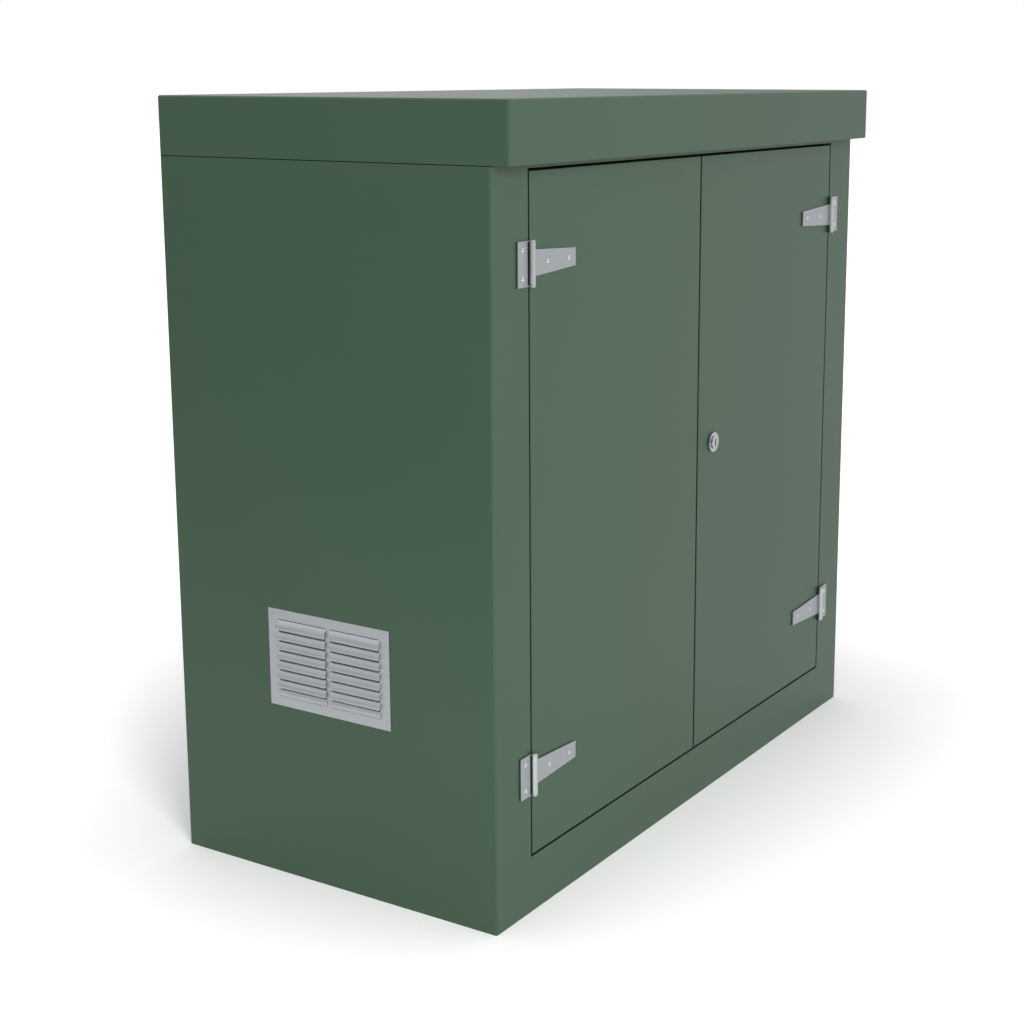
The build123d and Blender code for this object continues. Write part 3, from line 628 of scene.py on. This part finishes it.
# %% [markdown]
# ## Wood
# The backboard is birch plywood: long grain on its face and, on its edges, the light and dark lines of
# its plies. The rails behind it are softwood. Both are grain that is drawn out along the board. In the
# plywood it is also packed close through the thickness, which gives the plies without a second pattern.

# %% Wood
birch_tint = (0.58, 0.42, 0.25, 1)
birch_stretch = (0.08, 6.0, 1.0)
pine_tint = (0.56, 0.38, 0.20, 1)
pine_stretch = (0.06, 1.0, 1.0)
patch_share = 0.45
wood_roughness = (0.5, 0.7)
fibre_depth = 0.4 * millimetre


def wood(name, tint, stretch, amount):
    material, tree, shader = new_material(name)
    fibre = place(tree, "grain", Scale=60.0, Stretch=stretch, Detail=5.0)
    patch = place(tree, "grain", Scale=6.0, Stretch=stretch, Detail=2.0)
    figure = mix_values(tree, patch_share, fibre, patch)
    wire(tree, place(tree, "tone", Colour=tint, Mask=figure, Amount=amount), shader.inputs["Base Color"])
    wire(tree, mix_values(tree, fibre, *wood_roughness), shader.inputs["Roughness"])
    wire(tree, bump(tree, fibre, 0.15, fibre_depth), shader.inputs["Normal"])
    return material


birch = wood("birch_plywood", birch_tint, birch_stretch, amount=0.16)
pine = wood("softwood", pine_tint, pine_stretch, amount=0.25)
print("woods:", birch.name, pine.name)

# %% [markdown]
# ## Dressing the solids
# Each solid could be dressed by its own name, but the record already sorts them into finish slots, so
# most are dressed slot by slot. Only the four mouldings are named, because each has its own gelcoat.

# %% Dress the solids
by_slot = {
    "black_seal": foam, "zinc_fixings": zinc_metal, "vent_aluminium": vent_metal,
    "hinge_steel": hinge_metal, "screw_steel": screw_metal, "lock_chrome": lock_metal,
    "bolt_steel": bolt_metal, "birch_plywood": birch, "softwood_rail": pine,
}
by_name = {
    "body_shell": shell_gelcoat, "roof_canopy": roof_gelcoat,
    "left_door_panel": left_gelcoat, "right_door_panel": right_gelcoat,
}
node_slots = {piece["node"]: piece["material_slot"] for piece in frame["record"]["subparts"]}
for name, node in nodes.items():
    finish = by_name.get(name) or by_slot[node_slots[name]]
    node.data.materials.clear()
    node.data.materials.append(finish)
print("dressed", len(nodes), "solids in", len(by_name) + len(by_slot), "finishes")

# %% [markdown]
# ## Screws with a cross recess
# A hinge screw is a low dome on a rim, a plain shank, and a cross that the driver goes into. A profile
# could be spun into the same shape. Here the dome starts as a sphere that is cut off low down, which
# gives it the right roundness at once. Its open edge is then pulled down into the rim, in to the shank
# and down to the end.

# %% Screw blank
dome_radius = 3.7 * millimetre
dome_height = 2.0 * millimetre
rim_height = 0.3 * millimetre
shank_radius = 2.5 * millimetre
short_length = 14.5 * millimetre
long_length = 18.5 * millimetre
dome_steps = 40


def start_piece():
    """Leaves edit mode and clears the selection, so that an operator acts only on what is picked next."""
    active = bpy.context.object
    if active and active.mode != "OBJECT":
        bpy.ops.object.mode_set(mode="OBJECT")
    bpy.ops.object.select_all(action="DESELECT")


def make_blank(name, length):
    """Dome-headed pin that stands on its shank, with the head's seat at the origin."""
    start_piece()
    ball = (dome_radius * dome_radius + dome_height * dome_height) / (2 * dome_height)
    bpy.ops.mesh.primitive_uv_sphere_add(segments=dome_steps, ring_count=dome_steps, radius=ball,
                                         location=(0, 0, dome_height + rim_height - ball))
    piece = bpy.context.object
    piece.name = name
    bpy.ops.object.transform_apply(location=True, rotation=False, scale=False)
    bpy.ops.object.mode_set(mode="EDIT")
    bpy.ops.mesh.select_all(action="SELECT")
    bpy.ops.mesh.bisect(plane_co=(0, 0, rim_height), plane_no=(0, 0, 1), clear_inner=True)
    bpy.ops.mesh.select_all(action="DESELECT")
    bpy.ops.mesh.select_non_manifold()
    bpy.ops.mesh.extrude_region_move(TRANSFORM_OT_translate={"value": (0, 0, -rim_height)})
    bpy.ops.mesh.extrude_region_move(TRANSFORM_OT_translate={"value": (0, 0, 0)})
    share = shank_radius / dome_radius
    bpy.ops.transform.resize(value=(share, share, 1), center_override=(0, 0, 0))
    bpy.ops.mesh.extrude_region_move(TRANSFORM_OT_translate={"value": (0, 0, -length)})
    bpy.ops.mesh.edge_face_add()
    bpy.ops.mesh.select_all(action="SELECT")
    bpy.ops.mesh.normals_make_consistent(inside=False)
    bpy.ops.object.mode_set(mode="OBJECT")
    return piece


short_screw = make_blank("short_screw", short_length)
long_screw = make_blank("long_screw", long_length)
print("screw blanks:", len(short_screw.data.polygons), "faces each")

# %% [markdown]
# ## The cross
# On the real screw a punch with a tapered cross presses the recess. Two wedges do the same here: each is
# a box whose lower end is drawn in, and a Boolean modifier takes it out of the head. The cross stands on
# the slant.

# %% Cross recess
recess_depth = 1.5 * millimetre
recess_length = 3.8 * millimetre
recess_width = 1.0 * millimetre
recess_turns = (45, 135)
recess_taper = 0.35
near_floor_share = 0.9
head_top = dome_height + rim_height


def make_wedge(turn):
    """Box across the top of a head, straight at first and then drawn in towards the recess's floor."""
    start_piece()
    bpy.ops.mesh.primitive_cube_add(size=1, location=(0, 0, head_top), rotation=(0, 0, math.radians(turn)))
    wedge = bpy.context.object
    wedge.scale = (recess_length, recess_width, 2 * recess_depth)
    bpy.ops.object.transform_apply(location=True, rotation=True, scale=True)
    bpy.ops.object.mode_set(mode="EDIT")
    bpy.ops.mesh.select_all(action="SELECT")
    bpy.ops.mesh.bisect(plane_co=(0, 0, head_top - recess_depth / 2), plane_no=(0, 0, 1))
    bpy.ops.mesh.select_all(action="DESELECT")
    bpy.ops.object.mode_set(mode="OBJECT")
    for vertex in wedge.data.vertices:
        vertex.select = vertex.co.z < head_top - near_floor_share * recess_depth
    bpy.ops.object.mode_set(mode="EDIT")
    bpy.ops.transform.resize(value=(recess_taper, recess_taper, 1), center_override=(0, 0, 0))
    bpy.ops.object.mode_set(mode="OBJECT")
    return wedge


def drop(piece):
    start_piece()
    piece.select_set(True)
    bpy.ops.object.delete()


def cut_cross(piece):
    for turn in recess_turns:
        wedge = make_wedge(turn)
        cut = piece.modifiers.new("recess", "BOOLEAN")
        cut.operation = "DIFFERENCE"
        cut.solver = "EXACT"
        cut.object = wedge
        start_piece()
        bpy.context.view_layer.objects.active = piece
        piece.select_set(True)
        bpy.ops.object.modifier_apply(modifier=cut.name)
        drop(wedge)


cut_cross(short_screw)
cut_cross(long_screw)
print("with the cross:", len(short_screw.data.polygons), "faces each")

# %% [markdown]
# ## Where the screws go
# Every hinge has two screws in its frame leaf, one above the other, and two along its strap. Their places
# are measured from the ends of the leaves and straps, so that they follow the hinges.

# %% Where the screws go
leaf_inset = 12.0 * millimetre
leaf_spread = 20.0 * millimetre
strap_insets = (18.3 * millimetre, 73.5 * millimetre)
leaf_spots = []
strap_spots = {"left": [], "right": []}
for side, sign in (("left", -1), ("right", 1)):
    for level in ("upper", "lower"):
        low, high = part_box(f"hinge_leaf_{side}_{level}")
        middle = (low[2] + high[2]) / 2
        outer = sign * max(abs(low[0]), abs(high[0]))
        for rise in (-leaf_spread, leaf_spread):
            leaf_spots.append((outer - sign * leaf_inset, plate_front, middle + rise))
        low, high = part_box(f"hinge_strap_{side}_{level}")
        tip = sign * min(abs(low[0]), abs(high[0]))
        for inset in strap_insets:
            strap_spots[side].append((tip + sign * inset, plate_front, middle))
print("screws:", len(leaf_spots), "short,", len(strap_spots["left"]) * 2, "long")

# %% [markdown]
# ## The screws in their places
# The screws are all alike, so each length was made once, and copies go to their places, turned to face
# forwards. The solids have these screws too, with a plain dome, so each joined set stands for its solid
# and moves with the frame or the door that it holds.

# %% Screws in their places
face_turn = (math.radians(90), 0, 0)
sharp_angle = math.radians(35)


def plant(piece, name, places):
    """Puts a copy at each place and joins the copies into one, with its origin at the frame's."""
    copies = []
    for spot in places:
        start_piece()
        bpy.context.view_layer.objects.active = piece
        piece.select_set(True)
        bpy.ops.object.duplicate()
        copy = bpy.context.object
        copy.rotation_euler = face_turn
        copy.location = spot
        copies.append(copy)
    start_piece()
    for copy in copies:
        copy.select_set(True)
    bpy.context.view_layer.objects.active = copies[0]
    bpy.ops.object.join()
    bpy.ops.object.transform_apply(location=True, rotation=True, scale=True)
    joined = bpy.context.object
    joined.name = name
    bpy.ops.object.shade_smooth_by_angle(angle=sharp_angle)
    return joined


leaf_screws = plant(short_screw, "leaf_screws", leaf_spots)
left_screws = plant(long_screw, "left_door_screws", strap_spots["left"])
right_screws = plant(long_screw, "right_door_screws", strap_spots["right"])
for piece, node, body in ((leaf_screws, "frame_hinge_screws", "cabinet"),
                          (left_screws, "left_strap_screws", "left_door"),
                          (right_screws, "right_strap_screws", "right_door")):
    piece.data.materials.clear()
    piece.data.materials.append(screw_metal)
    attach(piece, body)
    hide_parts(node)
drop(short_screw)
drop(long_screw)
print("screw sets:", leaf_screws.name, left_screws.name, right_screws.name)

# %% [markdown]
# ## Last measure
# The box round everything is measured again, and kept beside the first one, to see that nothing grew out
# of it.

# %% Last measure
low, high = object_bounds()
print("box from", [round(v, 4) for v in low], "to", [round(v, 4) for v in high])
